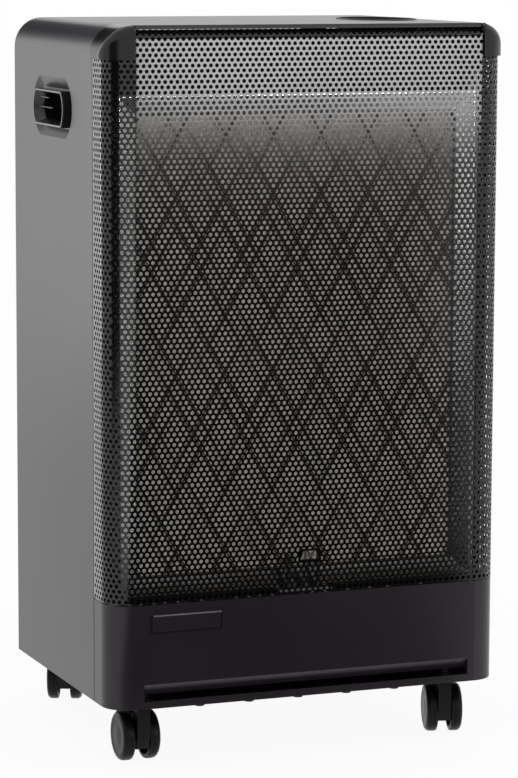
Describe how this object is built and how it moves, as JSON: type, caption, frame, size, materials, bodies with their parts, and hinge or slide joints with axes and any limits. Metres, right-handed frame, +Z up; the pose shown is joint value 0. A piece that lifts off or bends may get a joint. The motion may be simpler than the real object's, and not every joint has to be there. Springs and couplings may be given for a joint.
{
  "type": "portable gas heater",
  "caption": "Free-standing catalytic gas cabinet heater: perforated front over a wire-guarded pad, recessed top controls, side handles, tilting rear cover, twin-wheel castors.",
  "frame": {"origin": "on the floor, under the middle of the overall box", "axes": "+Z up; the front face looks towards -Y; +X is to the right seen from the front, where the controls are"},
  "size_m": [0.43, 0.364, 0.7342],
  "materials": {
    "shell_paint": "satin",
    "grille_paint": "satin",
    "panel_paint": "satin",
    "cover_paint": "satin",
    "tray_paint": "satin",
    "badge_metal": "polished",
    "cap_plastic": "satin",
    "handle_plastic": "satin",
    "tub_plastic": "satin",
    "knob_plastic": "gloss",
    "button_plastic": "gloss",
    "igniter_plastic": "satin",
    "burner_steel": "satin",
    "reflector_steel": "bright",
    "shield_steel": "satin",
    "guard_wire": "satin",
    "pad_fibre": "matt",
    "blanket_fibre": "matt",
    "brass_parts": "machined",
    "pipe_metal": "satin",
    "thermo_metal": "satin",
    "electrode_metal": "satin",
    "lead_rubber": "matt",
    "pin_steel": "machined",
    "magnet_black": "matt",
    "castor_plastic": "satin",
    "wheel_plastic": "satin"
  },
  "bodies": {
    "cabinet": {"cabinet_shell": "shell_paint", "front_grille": "grille_paint", "lower_front_panel": "panel_paint", "base_tray": "tray_paint", "badge_plate": "badge_metal", "corner_cap_left": "cap_plastic", "corner_cap_right": "cap_plastic", "handle_insert_left": "handle_plastic", "handle_insert_right": "handle_plastic", "control_tub": "tub_plastic", "igniter_body": "igniter_plastic", "burner_casing": "burner_steel", "diffuser_plate": "burner_steel", "reflector_frame": "reflector_steel", "heat_shield": "shield_steel", "valve_plate": "shield_steel", "pilot_bracket": "shield_steel", "wire_guard": "guard_wire", "catalytic_pad": "pad_fibre", "insulation_blanket": "blanket_fibre", "gas_valve": "brass_parts", "hose_nozzle": "brass_parts", "injector_block": "brass_parts", "pilot_burner": "brass_parts", "burner_pipe": "pipe_metal", "pilot_pipe": "pipe_metal", "thermocouple": "thermo_metal", "thermocouple_lead": "thermo_metal", "ignition_electrode": "electrode_metal", "ignition_lead": "lead_rubber", "hinge_pins": "pin_steel", "castor_sockets": "pin_steel", "cover_magnets": "magnet_black"},
    "rear_cover": {"rear_cover": "cover_paint"},
    "spindle": {"valve_spindle": "pin_steel"},
    "knob": {"control_knob": "knob_plastic"},
    "button": {"igniter_button": "button_plastic"},
    "castor_front_left": {"castor_hood_front_left": "castor_plastic", "castor_stem_front_left": "pin_steel", "castor_axle_front_left": "pin_steel"},
    "wheel_front_left_left": {"castor_wheel_front_left_left": "wheel_plastic"},
    "wheel_front_left_right": {"castor_wheel_front_left_right": "wheel_plastic"},
    "castor_front_right": {"castor_hood_front_right": "castor_plastic", "castor_stem_front_right": "pin_steel", "castor_axle_front_right": "pin_steel"},
    "wheel_front_right_left": {"castor_wheel_front_right_left": "wheel_plastic"},
    "wheel_front_right_right": {"castor_wheel_front_right_right": "wheel_plastic"},
    "castor_rear_left": {"castor_hood_rear_left": "castor_plastic", "castor_stem_rear_left": "pin_steel", "castor_axle_rear_left": "pin_steel"},
    "wheel_rear_left_left": {"castor_wheel_rear_left_left": "wheel_plastic"},
    "wheel_rear_left_right": {"castor_wheel_rear_left_right": "wheel_plastic"},
    "castor_rear_right": {"castor_hood_rear_right": "castor_plastic", "castor_stem_rear_right": "pin_steel", "castor_axle_rear_right": "pin_steel"},
    "wheel_rear_right_left": {"castor_wheel_rear_right_left": "wheel_plastic"},
    "wheel_rear_right_right": {"castor_wheel_rear_right_right": "wheel_plastic"}
  },
  "joints": [
    {"name": "cover_tilt", "type": "hinge", "parent": "cabinet", "child": "rear_cover", "pos_m": [0, 0.173, 0.066], "axis": [-1, 0, 0], "range_deg": [0, 30]},
    {"name": "knob_push", "type": "slide", "parent": "cabinet", "child": "spindle", "axis": [0, 0, -1], "range_m": [0, 0.004], "stiffness_N_per_m": 400, "springref_m": -0.003},
    {"name": "knob_turn", "type": "hinge", "parent": "spindle", "child": "knob", "pos_m": [0.132, -0.0512, 0.7175], "axis": [0, 0, -1], "range_deg": [0, 210]},
    {"name": "igniter_push", "type": "slide", "parent": "cabinet", "child": "button", "axis": [0, 0, -1], "range_m": [0, 0.006], "stiffness_N_per_m": 600, "springref_m": -0.004},
    {"name": "swivel_front_left", "type": "hinge", "parent": "cabinet", "child": "castor_front_left", "pos_m": [-0.1654, -0.1442, 0.0625], "axis": [0, 0, 1], "continuous": true},
    {"name": "roll_front_left_left", "type": "hinge", "parent": "castor_front_left", "child": "wheel_front_left_left", "pos_m": [-0.17872, -0.12408, 0.025], "axis": [1, -0.0087, 0], "continuous": true},
    {"name": "roll_front_left_right", "type": "hinge", "parent": "castor_front_left", "child": "wheel_front_left_right", "pos_m": [-0.15173, -0.12432, 0.025], "axis": [1, -0.0087, 0], "continuous": true},
    {"name": "swivel_front_right", "type": "hinge", "parent": "cabinet", "child": "castor_front_right", "pos_m": [0.1654, -0.1442, 0.0625], "axis": [0, 0, 1], "continuous": true},
    {"name": "roll_front_right_left", "type": "hinge", "parent": "castor_front_right", "child": "wheel_front_right_left", "pos_m": [0.15854, -0.12107, 0.025], "axis": [0.9537, -0.3007, 0], "continuous": true},
    {"name": "roll_front_right_right", "type": "hinge", "parent": "castor_front_right", "child": "wheel_front_right_right", "pos_m": [0.18429, -0.12918, 0.025], "axis": [0.9537, -0.3007, 0], "continuous": true},
    {"name": "swivel_rear_left", "type": "hinge", "parent": "cabinet", "child": "castor_rear_left", "pos_m": [-0.159, 0.1288, 0.0625], "axis": [0, 0, 1], "continuous": true},
    {"name": "roll_rear_left_left", "type": "hinge", "parent": "castor_rear_left", "child": "wheel_rear_left_left", "pos_m": [-0.16299, 0.1526, 0.025], "axis": [0.91, -0.4147, 0], "continuous": true},
    {"name": "roll_rear_left_right", "type": "hinge", "parent": "castor_rear_left", "child": "wheel_rear_left_right", "pos_m": [-0.13842, 0.1414, 0.025], "axis": [0.91, -0.4147, 0], "continuous": true},
    {"name": "swivel_rear_right", "type": "hinge", "parent": "cabinet", "child": "castor_rear_right", "pos_m": [0.159, 0.1288, 0.0625], "axis": [0, 0, 1], "continuous": true},
    {"name": "roll_rear_right_left", "type": "hinge", "parent": "castor_rear_right", "child": "wheel_rear_right_left", "pos_m": [0.14106, 0.14494, 0.025], "axis": [0.9703, 0.2419, 0], "continuous": true},
    {"name": "roll_rear_right_right", "type": "hinge", "parent": "castor_rear_right", "child": "wheel_rear_right_right", "pos_m": [0.16726, 0.15147, 0.025], "axis": [0.9703, 0.2419, 0], "continuous": true}
  ]
}
